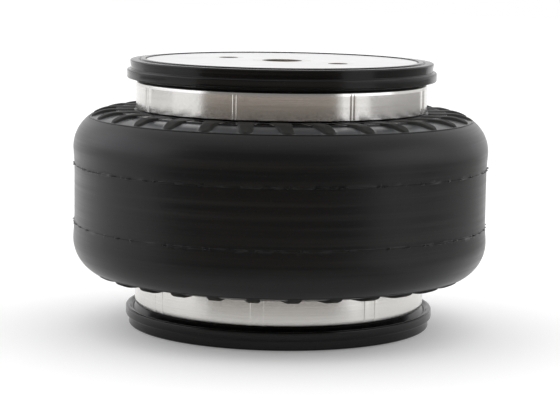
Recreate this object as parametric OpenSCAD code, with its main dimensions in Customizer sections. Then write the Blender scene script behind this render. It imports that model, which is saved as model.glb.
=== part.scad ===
// Air bellows actuator: one rubber convolution crimped to two end closures.
// The axis is Z, the base stands on Z = 0 and the mounting holes lie along X.

/* [Overall] */
// Height over the crests of the two rims, standing free
free_height = 138; // [124:1:150]

/* [Bellows wall] */
// Outer radius of the neck under the crimp bands
neck_r = 72.8; // [68:0.1:76]
// Radius of the wall between the two mould flash lines
wall_r = 106.8; // [103:0.1:110]
// How far the shoulders bulge past the wall
bulge = 0.6; // [0:0.1:2]
// Radius of the rounded shoulder corner
shoulder_corner_r = 19; // [16:0.5:22]
// Radius of the bend where the neck turns into the shoulder
neck_bend_r = 0.8; // [0.5:0.1:2]
// Height from each mould flash line to the middle of the nearer shoulder corner
flash_drop = 8.5; // [6:0.5:12]
// How far a mould flash fin stands proud
flash_height = 1.4; // [0.5:0.1:1.8]
// Thickness of a mould flash fin at its root
flash_root_t = 1; // [0.6:0.1:1.6]
// Thickness of the rubber cover
cover_t = 2.2; // [1.8:0.1:3]
// Thickness of one cord ply
ply_t = 0.9; // [0.6:0.1:1.2]
// Thickness of the airtight liner
liner_t = 1.5; // [1:0.1:2]

/* [Shoulder tread] */
// Ribs on each shoulder
rib_count = 24; // [18:1:28]
// Rib width at its inner end
rib_inner_w = 9.6; // [8:0.1:11]
// Rib width at its rounded outer end
rib_outer_w = 7.8; // [6:0.1:9]
// Height of a rib above the smooth shoulder
rib_height = 0.5; // [0.3:0.1:1]
// Height that is left of a rib where the tread ends
rib_end_height = 0.2; // [0:0.1:0.3]
// Lean of a rib away from the radial line, in degrees
rib_slant = 10; // [0:1:16]
// Depth of the ground between the ribs where it meets the collar
tread_depth = 0.4; // [0.2:0.1:0.8]
// Depth of the ground behind the lip where the tread ends
tread_lip_depth = 0.5; // [0.2:0.1:0.8]
// Place on the shoulder corner where the tread ends, in degrees above level
tread_edge_angle = 57; // [50:1:64]
// Radial width of the plain collar beside the band
collar_w = 6.2; // [4:0.1:8]

/* [Crimp bands] */
// Thickness of a crimp band
band_t = 2.2; // [1.6:0.1:3]
// Height of a crimp band
band_h = 13.9; // [10:0.1:16]

/* [End closures] */
// Thickness of an end plate
plate_t = 5.5; // [5:0.5:8]
// How far an end plate lies below the crest of the rim
plate_inset = 0.5; // [0.2:0.1:0.8]
// How far an end plate reaches out past its spigot ring
plate_overhang = 3.4; // [2.5:0.1:4.5]
// Bevel round the outer edge of an end plate
plate_bevel = 0.5; // [0.2:0.1:1]
// Wall of a spigot ring
spigot_wall = 5.5; // [4:0.5:8]
// How far a spigot ring reaches past the crimp band
spigot_reach = 2.2; // [1:0.1:4]
// Grip grooves round a spigot ring
grip_count = 4; // [2:1:5]
// Depth of a grip groove
grip_depth = 0.7; // [0.4:0.1:1]

/* [Rim seals] */
// Height of a rim seal
rim_h = 11.7; // [11:0.1:14]
// Width of the crest beside the end plate
rim_crest_w = 2.3; // [1.5:0.1:3]
// Width of the V-groove in the rim's face
rim_groove_w = 1.5; // [1:0.1:2]
// Depth of the V-groove in the rim's face
rim_groove_depth = 1.6; // [0.8:0.1:2]
// Width of the land outside the V-groove
rim_land_w = 3.6; // [2.5:0.1:4.5]
// How far the land lies below the crest
rim_land_drop = 0.5; // [0.2:0.1:1]
// How far the lip stands out past the foot of the rim
lip_overhang = 2.1; // [1.5:0.1:2.4]
// Radius of the rounded lip
lip_r = 2.5; // [2.2:0.1:3]
// Height of the lip's middle above the rim's face
lip_z = 7.5; // [7:0.1:8.5]
// How far inside the lip's middle the notch behind the lip lies
lip_notch_inset = 0.9; // [0.4:0.1:1.2]
// How far past the lip's middle the floor of that notch lies
lip_notch_rise = 0.9; // [0.5:0.1:1.5]
// Width of the mouth of that notch, from its floor out to the lip
lip_notch_w = 1.5; // [1:0.1:2]
// How far the rim's cone ends inside the face of the band
rim_cone_inset = 1.2; // [0.6:0.1:1.8]

/* [Mounting nuts] */
// Distance between the two mounting holes
hole_spacing = 70; // [60:1:80]
// Radius of the tapped hole, to the crest of the thread
nut_bore_r = 4.19; // [3.2:0.01:5.2]
// Depth of the tapped hole
nut_bore_depth = 15; // [12:0.5:18]
// Radius of the nut's barrel
nut_barrel_r = 8; // [7:0.1:9]
// Radius of the nut's collar behind the plate
nut_collar_r = 10; // [9.5:0.1:12]
// Thickness of the nut's collar
nut_collar_t = 3; // [2:0.5:4]
// Thickness of the closed end of a nut
nut_cap_t = 3; // [2:0.5:5]

/* [Air port] */
// Radius of the port, to the crest of the thread
port_bore_r = 9.32; // [7:0.01:12]
// Radius of the port bush
port_bush_r = 15; // [14:0.5:17]
// Radius of the collar behind the plate
port_collar_r = 19; // [18:0.5:22]
// Thickness of the collar behind the plate
port_collar_t = 4; // [3:0.5:6]
// Length of the port bush
port_length = 18; // [14:0.5:22]

/* [Fits] */
// Gap between the rubber of the bellows and the rigid end closures
rubber_gap = 0.3; // [0.2:0.05:0.4]
// Gap between pieces of one end closure
seat_gap = 0.1; // [0.05:0.01:0.15]
// Gap between the tread ribs and a crimp band
rib_gap = 0.9; // [0.5:0.1:1.5]

/* [Hidden] */

$fn = 180;
rubber_black = [0.06, 0.06, 0.065];
cord_brown = [0.45, 0.38, 0.30];
plate_white = [0.86, 0.86, 0.86];
band_silver = [0.72, 0.72, 0.71];
nut_grey = [0.60, 0.60, 0.58];

// Depths of the layers below the outer surface of the cover
outer_ply_d = cover_t;
inner_ply_d = outer_ply_d + ply_t;
liner_d = inner_ply_d + ply_t;
air_d = liner_d + liner_t;

// Radii and heights of the end closures
plate_back = plate_inset + plate_t;
spigot_r = neck_r - air_d - rubber_gap;
plate_r = spigot_r + plate_overhang;
rim_inner_r = plate_r + seat_gap;
rim_crest_r = rim_inner_r + rim_crest_w;
rim_land_r = rim_crest_r + rim_groove_w;
rim_foot_r = rim_land_r + rim_land_w;
lip_center_r = rim_foot_r + lip_overhang - lip_r;
band_inner_r = neck_r + rubber_gap;
band_outer_r = band_inner_r + band_t;
band_low_z = rim_h + seat_gap;
band_high_z = band_low_z + band_h;
spigot_h = band_high_z + spigot_reach - plate_back;

// Shoulder geometry, measured from the middle of the bellows
middle_z = free_height / 2;
shoulder_z = middle_z - band_high_z - neck_bend_r;
corner_z = shoulder_z - shoulder_corner_r;
corner_r = wall_r + bulge - shoulder_corner_r;
flash_offset = corner_z - flash_drop;
neck_end_z = middle_z - rim_h - rubber_gap;
collar_r = neck_r + collar_w;
rib_start_r = band_outer_r + rib_gap;

// The wall flares from the flash line to the shoulder corner along a line that touches the corner
flare_dr = wall_r - corner_r;
flare_angle = atan2(flash_drop, flare_dr) - acos(shoulder_corner_r / norm([flare_dr, flash_drop]));

// The ground of the tread curves from the collar down to the foot of the lip at the tread's edge
tread_edge_r = corner_r + shoulder_corner_r * cos(tread_edge_angle);
ground_run = tread_edge_r - collar_r;
ground_fall = shoulder_corner_r * (1 - sin(tread_edge_angle)) + tread_lip_depth - tread_depth;
ground_curve_r = (ground_run * ground_run + ground_fall * ground_fall) / (2 * ground_fall);

// Thread mouths are countersunk by these shares of their radius
nut_countersink = 0.22;
port_countersink = 0.11;
// Overlap that keeps joined or cut shapes from ending on one face
joint_overlap = 0.3;
// Length that clears any cut in the bellows section
cut_reach = 6;
// Bevel at the inner edges of nuts and rings
edge_bevel = 1;

// Upper half of the section of everything inside the surface at depth d, with its ends run on by extra
module bellows_section(d, extra = 0) {
    // Straight wall, flare and shoulder roof
    polygon([
        [-joint_overlap, -extra],
        [wall_r - d, -extra],
        [wall_r - d, flash_offset + d * tan(flare_angle / 2)],
        [
            corner_r + (shoulder_corner_r - d) * cos(flare_angle),
            corner_z - (shoulder_corner_r - d) * sin(flare_angle)
        ],
        [corner_r, corner_z],
        [corner_r, shoulder_z - d],
        [-joint_overlap, shoulder_z - d]
    ]);
    // Rounded shoulder corner
    translate([corner_r, corner_z])
        circle(shoulder_corner_r - d);
    // Neck
    translate([-joint_overlap, shoulder_z - d - joint_overlap])
        square([neck_r - d + joint_overlap, neck_end_z + extra - shoulder_z + d + joint_overlap]);
    // Bend from the neck into the shoulder roof
    difference() {
        translate([neck_r - d - joint_overlap, shoulder_z - d - joint_overlap])
            square(neck_bend_r + d + joint_overlap);
        translate([neck_r + neck_bend_r, shoulder_z + neck_bend_r])
            circle(neck_bend_r + d);
    }
}

// Upper half of the section of one layer between two depths
module layer_section(outer_d, inner_d) {
    difference() {
        bellows_section(outer_d);
        bellows_section(inner_d, joint_overlap);
    }
}

// Turns an upper half section into a whole ring about the middle of the bellows
module turn_both_halves() {
    translate([0, 0, middle_z])
        for (side = [0, 1])
            mirror([0, 0, side])
                rotate_extrude()
                    children();
}

// One layer of the bellows wall
module wall_layer(outer_d, inner_d) {
    turn_both_halves()
        layer_section(outer_d, inner_d);
}

// Field of the section above the shoulder corner, from start_r to the tread's edge
module tread_field(start_r) {
    edge_reach = shoulder_corner_r + cut_reach;
    polygon([
        [start_r, corner_z],
        [corner_r, corner_z],
        [corner_r + edge_reach / tan(tread_edge_angle), corner_z + edge_reach],
        [start_r, corner_z + edge_reach]
    ]);
}

// Everything above the ground between the ribs
module tread_cut() {
    difference() {
        tread_field(collar_r);
        translate([collar_r, shoulder_z - tread_depth - ground_curve_r])
            circle(ground_curve_r);
    }
}

// Section of the ribs, rooted inside the cover. Their top falls towards the tread's edge.
module rib_section() {
    root_depth = cover_t - joint_overlap;
    crest_r = corner_r - (rib_height - rib_end_height) / cos(tread_edge_angle);
    intersection() {
        difference() {
            union() {
                translate([crest_r, corner_z])
                    circle(shoulder_corner_r + rib_height);
                translate([rib_start_r, corner_z])
                    square([crest_r - rib_start_r, shoulder_corner_r + rib_height]);
            }
            translate([corner_r, corner_z])
                circle(shoulder_corner_r - root_depth);
            translate([0, corner_z - joint_overlap])
                square([corner_r, shoulder_corner_r - root_depth + joint_overlap]);
        }
        tread_field(rib_start_r);
    }
}

// Thin fin that the mould leaves at a flash line
module flash_section() {
    translate([wall_r, flash_offset])
        polygon([
            [-joint_overlap, -flash_root_t / 2],
            [flash_height, 0],
            [-joint_overlap, flash_root_t / 2]
        ]);
}

// Outline of one rib seen along the axis, with its rounded end just short of the tread's edge
module rib_plan() {
    end_r = tread_edge_r - rib_outer_w / 2 - joint_overlap;
    root_r = rib_start_r - cut_reach;
    mid_r = (rib_start_r + tread_edge_r) / 2;
    translate([mid_r, 0])
        rotate(rib_slant)
            translate([-mid_r, 0]) {
                polygon([
                    [root_r, -rib_inner_w / 2],
                    [end_r, -rib_outer_w / 2],
                    [end_r, rib_outer_w / 2],
                    [root_r, rib_inner_w / 2]
                ]);
                translate([end_r, 0])
                    circle(rib_outer_w / 2);
            }
}

// The ring of slanted ribs that follows the upper shoulder
module tread_ribs() {
    intersection() {
        rotate_extrude()
            rib_section();
        for (i = [0 : rib_count - 1])
            rotate((i + 0.5) * 360 / rib_count)
                translate([0, 0, corner_z])
                    linear_extrude(shoulder_corner_r + cut_reach)
                        rib_plan();
    }
}

module bellows_cover() {
    color(rubber_black) {
        turn_both_halves() {
            difference() {
                layer_section(0, outer_ply_d);
                tread_cut();
            }
            flash_section();
        }
        translate([0, 0, middle_z])
            for (side = [0, 1])
                mirror([0, 0, side])
                    tread_ribs();
    }
}

module outer_cord_ply() {
    color(cord_brown)
        wall_layer(outer_ply_d, inner_ply_d);
}

module inner_cord_ply() {
    color(cord_brown)
        wall_layer(inner_ply_d, liner_d);
}

module bellows_liner() {
    color(rubber_black)
        wall_layer(liner_d, air_d);
}

// Flat disc with clearance holes for the nuts and, where asked for, the air port
module end_plate(with_port) {
    color(plate_white)
        difference() {
            rotate_extrude()
                polygon([
                    [0, plate_inset],
                    [plate_r - plate_bevel, plate_inset],
                    [plate_r, plate_inset + plate_bevel],
                    [plate_r, plate_back],
                    [0, plate_back]
                ]);
            for (side = [-1, 1])
                translate([side * hole_spacing / 2, 0, plate_inset - joint_overlap])
                    cylinder(h = plate_t + 2 * joint_overlap, r = nut_barrel_r);
            if (with_port)
                translate([0, 0, plate_inset - joint_overlap])
                    cylinder(h = plate_t + 2 * joint_overlap, r = port_bush_r);
        }
}

// Stiff ring inside the neck, with grip grooves for the rubber to bite into
module spigot_ring() {
    grip_pitch = band_h / (grip_count + 1);
    color(nut_grey)
        rotate_extrude()
            difference() {
                translate([spigot_r - spigot_wall, plate_back])
                    polygon([
                        [0, 0],
                        [spigot_wall, 0],
                        [spigot_wall, spigot_h - edge_bevel],
                        [spigot_wall - edge_bevel, spigot_h],
                        [0, spigot_h]
                    ]);
                for (i = [1 : grip_count])
                    translate([spigot_r, band_low_z + i * grip_pitch])
                        circle(grip_depth);
            }
}

// Rubber rim: crest, V-groove and land in the face, rounded lip and a cone that runs to the band
module rim_seal() {
    notch_r = lip_center_r - lip_notch_inset;
    notch_z = lip_z + lip_notch_rise;
    cone_r = band_outer_r - rim_cone_inset;
    color(rubber_black)
        rotate_extrude() {
            difference() {
                union() {
                    polygon([
                        [rim_inner_r, 0],
                        [rim_crest_r, 0],
                        [rim_crest_r + rim_groove_w / 2, rim_groove_depth],
                        [rim_land_r, rim_land_drop],
                        [rim_foot_r, rim_land_drop],
                        [rim_foot_r, lip_z],
                        [notch_r, notch_z],
                        [cone_r, rim_h],
                        [spigot_r + seat_gap, rim_h],
                        [spigot_r + seat_gap, plate_back + seat_gap],
                        [rim_inner_r, plate_back + seat_gap]
                    ]);
                    translate([lip_center_r, lip_z])
                        circle(lip_r);
                }
                polygon([
                    [notch_r, notch_z],
                    [notch_r + lip_notch_w, lip_z + lip_r + joint_overlap],
                    [cone_r, rim_h + joint_overlap],
                    [cone_r, rim_h]
                ]);
            }
        }
}

// Bright ring with rounded edges that clamps the neck onto the spigot ring
module crimp_band() {
    color(band_silver)
        rotate_extrude()
            translate([band_inner_r, band_low_z]) {
                translate([0, band_t / 2])
                    square([band_t, band_h - band_t]);
                for (z = [band_t / 2, band_h - band_t / 2])
                    translate([band_t / 2, z])
                        circle(band_t / 2);
            }
}

// Tapped nuts, flush with the plate's face and closed at the inner end
module mount_nuts() {
    mouth = nut_bore_r * nut_countersink;
    bore_end = plate_inset + nut_bore_depth;
    nut_end = bore_end + nut_cap_t;
    barrel_r = nut_barrel_r - seat_gap;
    color(nut_grey)
        for (side = [-1, 1])
            translate([side * hole_spacing / 2, 0, 0])
                rotate_extrude()
                    polygon([
                        [nut_bore_r + mouth, plate_inset],
                        [barrel_r, plate_inset],
                        [barrel_r, plate_back + seat_gap],
                        [nut_collar_r, plate_back + seat_gap],
                        [nut_collar_r, plate_back + nut_collar_t],
                        [barrel_r, plate_back + nut_collar_t],
                        [barrel_r, nut_end - edge_bevel],
                        [barrel_r - edge_bevel, nut_end],
                        [0, nut_end],
                        [0, bore_end],
                        [nut_bore_r, bore_end],
                        [nut_bore_r, plate_inset + mouth]
                    ]);
}

// Tapped bush that lets air through the top plate
module port_bush() {
    mouth = port_bore_r * port_countersink;
    bush_r = port_bush_r - seat_gap;
    bush_end = plate_inset + port_length;
    color(nut_grey)
        rotate_extrude()
            polygon([
                [port_bore_r + mouth, plate_inset],
                [bush_r, plate_inset],
                [bush_r, plate_back + seat_gap],
                [port_collar_r, plate_back + seat_gap],
                [port_collar_r, plate_back + port_collar_t],
                [bush_r, plate_back + port_collar_t],
                [bush_r, bush_end - edge_bevel],
                [bush_r - edge_bevel, bush_end],
                [port_bore_r, bush_end],
                [port_bore_r, plate_inset + mouth]
            ]);
}

// Turns a piece made for the base over to the top end
module at_top() {
    translate([0, 0, free_height])
        mirror([0, 0, 1])
            children();
}

module bottom_end_plate() {
    end_plate(false);
}

module bottom_spigot_ring() {
    spigot_ring();
}

module bottom_rim_seal() {
    rim_seal();
}

module bottom_crimp_band() {
    crimp_band();
}

module bottom_mount_nuts() {
    mount_nuts();
}

module top_end_plate() {
    at_top()
        end_plate(true);
}

module top_spigot_ring() {
    at_top()
        spigot_ring();
}

module top_rim_seal() {
    at_top()
        rim_seal();
}

module top_crimp_band() {
    at_top()
        crimp_band();
}

module top_mount_nuts() {
    at_top()
        mount_nuts();
}

module air_port_bush() {
    at_top()
        port_bush();
}

bottom_end_plate();
bottom_spigot_ring();
bottom_rim_seal();
bottom_crimp_band();
bottom_mount_nuts();
bellows_cover();
outer_cord_ply();
inner_cord_ply();
bellows_liner();
top_end_plate();
top_spigot_ring();
top_rim_seal();
top_crimp_band();
top_mount_nuts();
air_port_bush();
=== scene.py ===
"""Dresses the air bellows actuator and sets it on a pale studio floor."""

import math
from typing import NamedTuple

import bpy
import numpy as np
from mathutils import Matrix, Vector


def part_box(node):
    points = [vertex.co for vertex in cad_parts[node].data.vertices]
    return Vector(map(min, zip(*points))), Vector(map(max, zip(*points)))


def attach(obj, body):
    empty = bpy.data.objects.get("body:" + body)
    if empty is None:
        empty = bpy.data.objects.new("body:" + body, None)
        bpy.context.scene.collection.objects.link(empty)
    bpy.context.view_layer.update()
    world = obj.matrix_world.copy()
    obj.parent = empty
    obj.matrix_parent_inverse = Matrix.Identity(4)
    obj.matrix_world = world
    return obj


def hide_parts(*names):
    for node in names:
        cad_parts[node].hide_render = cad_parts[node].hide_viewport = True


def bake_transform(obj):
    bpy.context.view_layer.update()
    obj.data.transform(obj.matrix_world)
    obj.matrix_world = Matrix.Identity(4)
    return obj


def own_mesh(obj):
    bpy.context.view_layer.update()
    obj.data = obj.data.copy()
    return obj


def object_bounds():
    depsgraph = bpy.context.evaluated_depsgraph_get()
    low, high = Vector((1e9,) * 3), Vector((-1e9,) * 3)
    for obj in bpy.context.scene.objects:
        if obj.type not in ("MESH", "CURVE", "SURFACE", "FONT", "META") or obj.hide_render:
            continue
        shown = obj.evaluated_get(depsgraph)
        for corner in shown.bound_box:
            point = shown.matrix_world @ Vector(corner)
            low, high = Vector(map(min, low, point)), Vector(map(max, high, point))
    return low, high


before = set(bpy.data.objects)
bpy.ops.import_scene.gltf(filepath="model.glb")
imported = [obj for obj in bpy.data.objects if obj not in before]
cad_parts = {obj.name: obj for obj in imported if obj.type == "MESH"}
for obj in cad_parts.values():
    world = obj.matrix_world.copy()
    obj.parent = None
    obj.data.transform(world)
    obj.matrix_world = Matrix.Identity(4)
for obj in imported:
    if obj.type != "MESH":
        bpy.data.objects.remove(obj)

bl_info = {
    "name": "Air bellows actuator",
    "version": (1, 0, 0),
    "blender": (4, 5, 0),
    "location": "3D View > Sidebar > Bellows",
    "description": "Builds the rubber wall, bands, rims, nuts and stage of an air bellows actuator",
    "category": "Object",
}

MM = 0.001

# Boxes and heights of the CAD pieces
CAD_LOW, CAD_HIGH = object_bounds()
COVER_LOW, COVER_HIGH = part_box("bellows_cover")
BAND_LOW, BAND_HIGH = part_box("bottom_crimp_band")
RIM_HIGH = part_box("bottom_rim_seal")[1]
PLATE_LOW, PLATE_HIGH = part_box("bottom_end_plate")
NUT_LOW, NUT_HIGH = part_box("bottom_mount_nuts")
PORT_LOW, PORT_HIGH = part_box("air_port_bush")
FREE_HEIGHT = CAD_HIGH.z - CAD_LOW.z
MIDDLE_Z = (COVER_LOW.z + COVER_HIGH.z) / 2

# Names of pieces and bodies
WALL_LAYERS = ("bellows_cover", "outer_cord_ply", "inner_cord_ply", "bellows_liner")
ENDS = ("bottom", "top")
END_BODY = {"bottom": "base", "top": "top"}

# Gaps between pieces
SEAT_GAP = 0.1 * MM
RUBBER_GAP = 0.3 * MM

# Meshes
SHARP_EDGE = math.radians(38)
LEAST_ROUNDING = 0.01 * MM
MOST_ROUNDED = 0.49
RIM_COLUMNS = 240
FITTING_COLUMNS = 96

# Zones of the wall's outside, their rubbers, and the shares of a rib that part them
PLAIN, GROUND, COLLAR, RIB, FLASH = range(5)
ZONE_RUBBERS = ("cover_rubber", "tread_ground_rubber", "collar_rubber", "rib_rubber", "flash_rubber")
GROUND_BELOW, RIB_ABOVE = 0.5, 0.2

# Mould flash: width of its root, and waves of (count round the wall, phase, size) for its ragged edge
FIN_ROOT = 1 * MM
FIN_STEP = FIN_ROOT / 6
FIN_STEPS = (-3, -1.5, -0.5, 0, 0.5, 1.5, 3)
FIN_WAVES = (
    (5, 0.3, 0.6), (23, 1.7, 0.5), (61, 0.6, 0.6),
    (127, 2.4, 0.8), (191, 4.1, 0.9), (239, 5.2, 0.7),
)
FIN_MIDDLE, FIN_SWING, FIN_LEAST = 0.08, 0.42, 0.05

# Rows of the wall's mesh, from its middle to its neck
WALL_ROWS = 6
BULGE_ROWS = 5
WIDEST_SHARES = (0.8, 0.6, 0.4, 0.2, 0.06)
CORNER_STARTS = (0.0, 0.01, 0.03, 0.06)
CORNER_FIRST, CORNER_ROWS = 0.1, 14
GROOVE_SIDES = ((1.5, 0), (1.1, 1), (0.9, 1), (0.5, 0))
TREAD_ROWS, TREAD_CROWDING = 19, 1.8
ROOF_ROWS = 10
ROW_STEP = 0.15 * MM
COLLAR_STEPS = 6
BEND_ROWS = 6
NECK_RUN = 4 * MM
INSIDE_SHARES = (0.0, 0.6, 1.0)
INSIDE_FLARES = (1.0, 0.5)
INSIDE_CORNER_ROWS, INSIDE_BEND_ROWS = 12, 7

# Columns of the wall's mesh, from a rib's middle to the ground, and how much rib each one carries
CROWN_SHARES = np.array([1 / 3, 2 / 3])
FLANK_OFFSETS = np.array([-1.3, -0.75, -0.3, 0.0, 0.45]) * MM
FLANK_CARRY = (1.0, 0.93, 0.62, 0.22, 0.0)
GROUND_SHARES = np.array([0.25, 0.5, 0.75])
RIB_LEAST_HALF = 1.7 * MM
RIB_END_GAP = 0.3 * MM
SMALL_TURN = 0.002

# Witness lines of the press jaws: half width, and (place, depth) across a line
JAW_LINE_HALF = math.radians(0.4)
JAW_LINE = ((-1, 0.0), (-0.5, 0.35), (0, 1.0), (0.5, 0.35), (1, 0.0))
JAW_COLUMNS = 16
BAND_FACE_SLACK = 0.02 * MM

# Nuts and port
FITTING_BEVEL = 1 * MM
NUT_COUNTERSINK = 0.22
PORT_COUNTERSINK = 0.11
NUT_CAP_AXIS = 0.01 * MM
BORE_SHARE = 0.56
THREAD_SHARES = (1.0, 0.6, 0.5, 0.12)

# Finishes
ROUGHNESS_SPREAD = 0.06
SHEEN_ROUGHNESS = 0.3

# How far a direction points to the camera where the front light starts and where it is full
FRONT_START, FRONT_END = 0.15, 0.7

# Camera: width of its sensor in millimetres, and farthest distance that it sees in metres
SENSOR_WIDTH = 36
CLIP_END = 50

# Floor and studio cards, in metres
FLOOR_HALF = 4.0
FLOOR_LEVEL = -0.1 * MM
CARD_LEVEL = 0.5 * MM
CARD_NEAR, CARD_FAR = 0.32, 1.1
ROOM_TOP = 0.22

# Studio cards: name, span in degrees, start and end as (reach, level), and setting of the tone
CARD_POINTS = 33
ROOM_SPAN = (-62, 44)
STUDIO_CARDS = (
    ("room_wall", ROOM_SPAN, (CARD_FAR, 0.0), (CARD_FAR, ROOM_TOP), "room"),
    ("room_ceiling", ROOM_SPAN, (CARD_FAR, ROOM_TOP), (CARD_FAR, 1.3), "ceiling"),
    ("front_paper", (-46, 46), (CARD_NEAR / 2, CARD_LEVEL), (CARD_NEAR, CARD_LEVEL), "front_paper"),
    ("near_floor", ROOM_SPAN, (CARD_NEAR, CARD_LEVEL), (CARD_FAR, 0.0), "near_floor"),
    ("far_floor", (70, 140), (CARD_NEAR, CARD_LEVEL), (3 * CARD_FAR, CARD_LEVEL), "far_floor"),
    ("left_floor", (234, 268), (1.2 * CARD_FAR, CARD_LEVEL), (3 * CARD_FAR, CARD_LEVEL), "far_floor"),
    ("left_softbox", (232, 300), (CARD_FAR, 0.25), (CARD_FAR, 1.0), "softbox"),
    ("right_softbox", (46, 94), (CARD_FAR, 0.18), (CARD_FAR, 0.9), "softbox"),
)


class RubberLook(NamedTuple):
    """Tones of a moulded rubber, by their names in the finish settings, and how it shines."""

    dark: str
    light: str
    roughness: float
    striation: float
    gloss: float
    dust: float = 0.0


RUBBER_LOOKS = {
    "cover_rubber": RubberLook("rubber_dark", "rubber_light", 0.38, 0.25, 0.25, 0.42),
    "tread_ground_rubber": RubberLook("ground_dark", "ground_light", 0.3, 0.1, 0.5),
    "collar_rubber": RubberLook("rubber_dark", "rubber_light", 0.12, 0.05, 0.5),
    "rib_rubber": RubberLook("rib_dark", "rib_light", 0.6, 0.1, 0.2),
    "flash_rubber": RubberLook("rubber_dark", "rib_dark", 0.36, 0.1, 0.16),
    "rim_rubber": RubberLook("rubber_dark", "rubber_light", 0.18, 0.1, 0.22),
}


def length(name, description, millimetres):
    """A length that a user may change."""
    return bpy.props.FloatProperty(
        name=name, description=description, default=millimetres * MM,
        unit="LENGTH", subtype="DISTANCE", precision=5,
    )


def angle(name, description, degrees):
    """An angle that a user may change."""
    return bpy.props.FloatProperty(
        name=name, description=description, default=math.radians(degrees), unit="ROTATION", subtype="ANGLE"
    )


def colour(name, description, default):
    """A colour that a user may change."""
    return bpy.props.FloatVectorProperty(
        name=name, description=description, default=default, size=3, min=0, max=1, subtype="COLOR"
    )


def share(name, description, default):
    """A share between nothing and all that a user may change."""
    return bpy.props.FloatProperty(
        name=name, description=description, default=default, min=0, max=1, subtype="FACTOR"
    )


class BellowsWallSettings(bpy.types.PropertyGroup):
    neck_radius: length("Neck radius", "Outer radius of the neck under the bands", 72.8)
    wall_radius: length("Wall radius", "Radius between the two mould flash lines", 106.8)
    bulge: length("Bulge", "How far the shoulders bulge past the wall", 0.6)
    corner_radius: length("Corner radius", "Rounding of the shoulder corner", 19)
    neck_bend: length("Neck bend", "Radius where the neck turns into the shoulder", 0.8)
    thickness: length("Wall thickness", "Cover, two cord plies and liner together", 5.5)
    flash_offset: length("Flash line", "Height of a flash line from the middle", 15)
    blend_height: length("Tilt blend", "Height over which the wall turns with the top end", 16)


class BellowsTreadSettings(bpy.types.PropertyGroup):
    rib_count: bpy.props.IntProperty(name="Ribs", description="Ribs on one shoulder", default=30, min=8)
    top_phase: angle("Top phase", "Turn of the top shoulder's ribs round the axis", 0.9)
    bottom_phase: angle("Bottom phase", "Turn of the bottom shoulder's ribs round the axis", 3.9)
    inner_width: length("Inner width", "Rib width at the band", 9.8)
    outer_width: length("Outer width", "Rib width at its rounded end", 6.4)
    height: length("Rib height", "Height above the smooth shoulder", 0.5)
    end_height: length("End height", "Height left at the tread's edge", 0.2)
    lean: angle("Lean", "Lean of a rib away from the radial line", 10)
    depth: length("Ground depth", "Depth of the ground where it meets the collar", 0.8)
    lip_depth: length("Lip depth", "Depth of the ground behind the lip at the tread's edge", 0.5)
    edge: angle("Tread edge", "Place on the corner where the tread ends", 57)
    line_width: length("Line width", "Width of the groove along the tread's edge", 0.7)
    line_depth: length("Line depth", "Depth of the groove along the tread's edge", 0.35)
    collar: length("Collar width", "Plain collar beside the band", 13)
    band_gap: length("Band gap", "Gap between ribs and band", 0.9)


class BellowsBandSettings(bpy.types.PropertyGroup):
    edge_round: length("Edge rounding", "Rounding of the band's edges", 0.5)
    relief: length("Relief", "How far the edge beside the rim falls back", 0.26)
    relief_height: length("Relief height", "Height of the edge that falls back", 1.7)
    jaw_count: bpy.props.IntProperty(name="Jaws", description="Jaws of the press", default=8, min=2)
    top_gap: angle("Top jaw gap", "Angle between two neighbouring jaws' lines on the top band", 1.4)
    bottom_gap: angle("Bottom jaw gap", "Angle between two neighbouring jaws' lines on the bottom band", 5)
    line_depth: length("Line depth", "Depth of a witness line", 0.2)
    top_phase: angle("Top phase", "Place of the first jaw gap on the top band", 18.2)
    bottom_phase: angle("Bottom phase", "Place of the first jaw gap on the bottom band", 27.9)


class BellowsRimSettings(bpy.types.PropertyGroup):
    crest_width: length("Crest width", "Crest beside the end plate", 2.3)
    groove_width: length("Groove width", "V-groove in the rim's face", 1.5)
    groove_depth: length("Groove depth", "V-groove in the rim's face", 1.6)
    land_width: length("Land width", "Land outside the V-groove", 3.6)
    land_drop: length("Land drop", "How far the land lies below the crest", 0.5)
    foot_draft: length("Foot draft", "How far the foot widens from the lip to the land", 0.6)
    lip_radius: length("Lip radius", "Rounding of the lip", 2.5)
    lip_height: length("Lip height", "Height of the lip's middle above the face", 7.5)
    notch_inset: length("Notch inset", "Notch behind the lip, inside the lip's middle", 0.9)
    notch_rise: length("Notch rise", "Floor of the notch past the lip's middle", 0.9)
    notch_width: length("Notch width", "Mouth of the notch behind the lip", 1.5)
    seat_width: length("Seat width", "How far the rim reaches in behind the end plate", 3.3)
    cone_inset: length("Cone inset", "How far the cone ends inside the band's face", 1.2)
    edge_round: length("Edge rounding", "Rounding of the moulded edges", 0.35)


class BellowsThreadSettings(bpy.types.PropertyGroup):
    nut_crest: length("Nut crest", "Radius to the crest of a nut's thread", 4.19)
    nut_root: length("Nut root", "Radius to the root of a nut's thread", 5)
    nut_pitch: length("Nut pitch", "Pitch of a nut's thread", 1.5)
    nut_depth: length("Nut depth", "Depth of a tapped hole", 15)
    nut_barrel: length("Nut barrel", "Radius of a nut's barrel", 7.9)
    nut_collar: length("Nut collar", "Thickness of a nut's collar", 3)
    port_crest: length("Port crest", "Radius to the crest of the port's thread", 9.32)
    port_root: length("Port root", "Radius to the root of the port's thread", 10.48)
    port_pitch: length("Port pitch", "Pitch of the port's thread", 1.814)
    port_barrel: length("Port barrel", "Radius of the port bush", 14.9)
    port_collar: length("Port collar", "Thickness of the port's collar", 4)


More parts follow.
